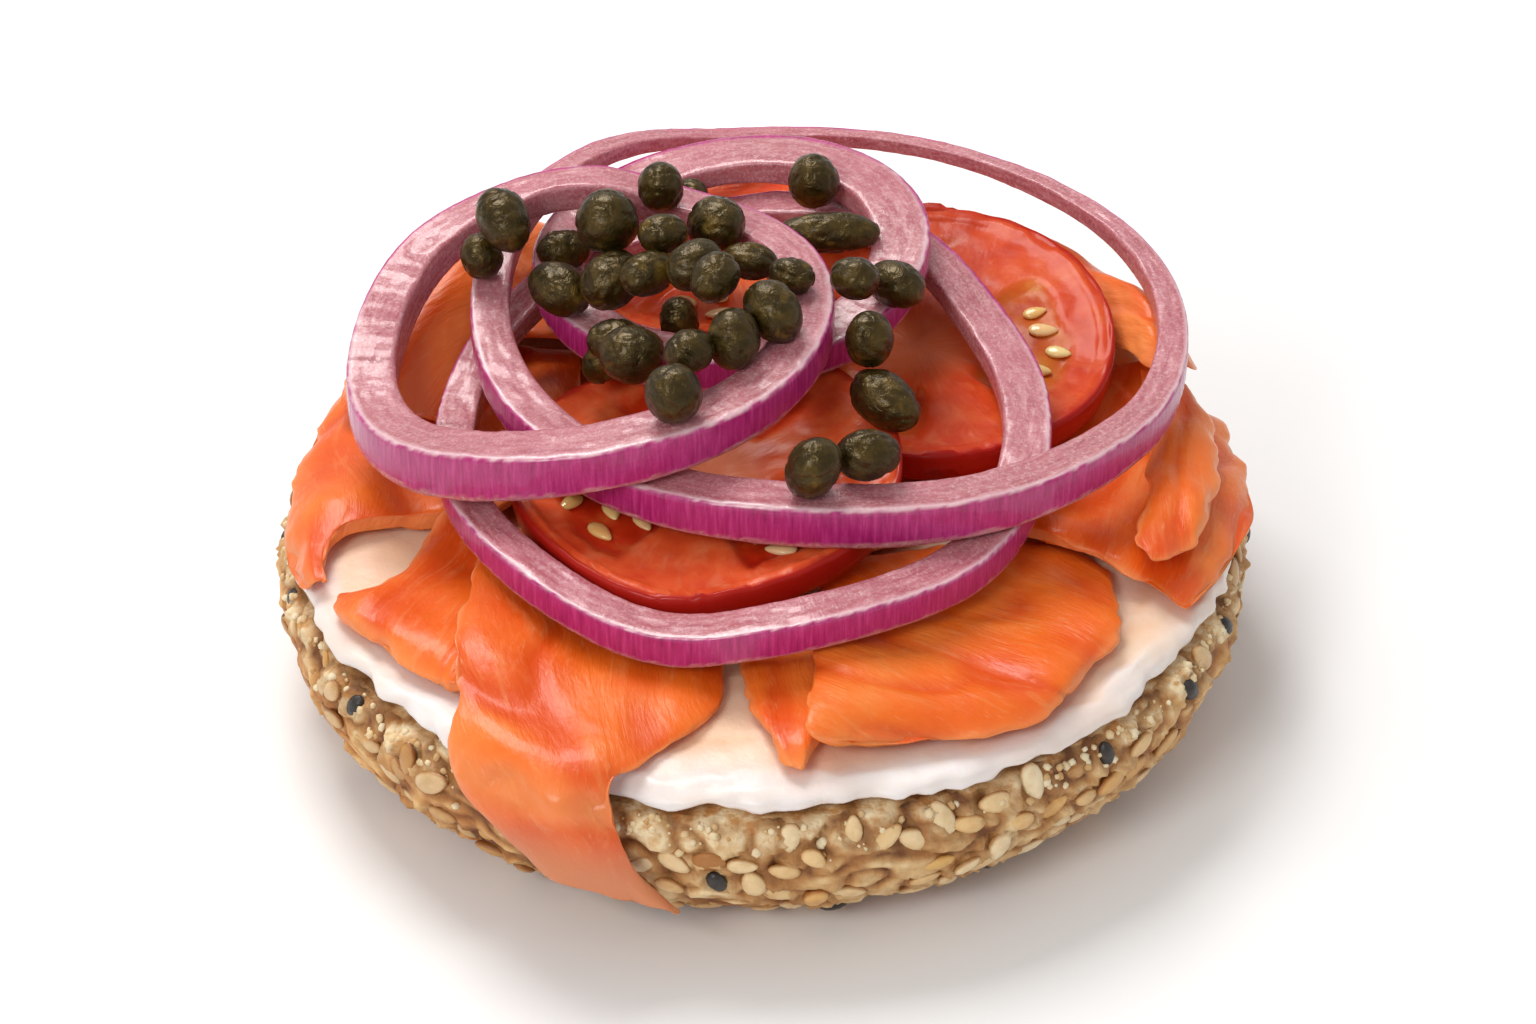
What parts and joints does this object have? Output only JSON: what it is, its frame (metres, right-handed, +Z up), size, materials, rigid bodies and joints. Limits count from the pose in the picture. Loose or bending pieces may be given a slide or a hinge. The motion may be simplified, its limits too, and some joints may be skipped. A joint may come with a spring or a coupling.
{
  "type": "bagel sandwich",
  "caption": "Open-faced half bagel with cream cheese, smoked salmon, tomato, red onion rings and capers.",
  "frame": {"origin": "middle of the sandwich's bounding box in plan, on the surface it stands on", "axes": "+Z up, -Y towards the slice of salmon that hangs over the crust, +X to the right as seen from there"},
  "size_m": [0.104, 0.1082, 0.0493],
  "materials": {
    "bagel_crust": "baked, dry and craggy",
    "cream_cheese": "soft and moist",
    "smoked_salmon": "wet and fibrous",
    "tomato": "wet",
    "red_onion": "moist",
    "caper": "brined, finely wrinkled"
  },
  "bodies": {
    "root": {"bagel": "bagel_crust", "caper_01": "caper", "caper_02": "caper", "caper_03": "caper", "caper_04": "caper", "caper_05": "caper", "caper_06": "caper", "caper_07": "caper", "caper_08": "caper", "caper_09": "caper", "caper_10": "caper", "caper_11": "caper", "caper_12": "caper", "caper_13": "caper", "caper_14": "caper", "caper_15": "caper", "caper_16": "caper", "caper_17": "caper", "caper_18": "caper", "caper_19": "caper", "caper_20": "caper", "caper_21": "caper", "caper_22": "caper", "caper_23": "caper", "caper_24": "caper", "caper_25": "caper", "caper_26": "caper", "caper_27": "caper", "caper_28": "caper", "caper_29": "caper", "caper_30": "caper", "caper_31": "caper", "cream_cheese": "cream_cheese", "onion_ring_front": "red_onion", "onion_ring_large": "red_onion", "onion_ring_left": "red_onion", "onion_ring_middle": "red_onion", "salmon_back": "smoked_salmon", "salmon_drape": "smoked_salmon", "salmon_fold": "smoked_salmon", "salmon_front": "smoked_salmon", "salmon_heap": "smoked_salmon", "salmon_left": "smoked_salmon", "salmon_lobe": "smoked_salmon", "salmon_middle": "smoked_salmon", "salmon_mound": "smoked_salmon", "salmon_point": "smoked_salmon", "salmon_right": "smoked_salmon", "tomato_back": "tomato", "tomato_front": "tomato", "tomato_right": "tomato"}
  },
  "joints": []
}
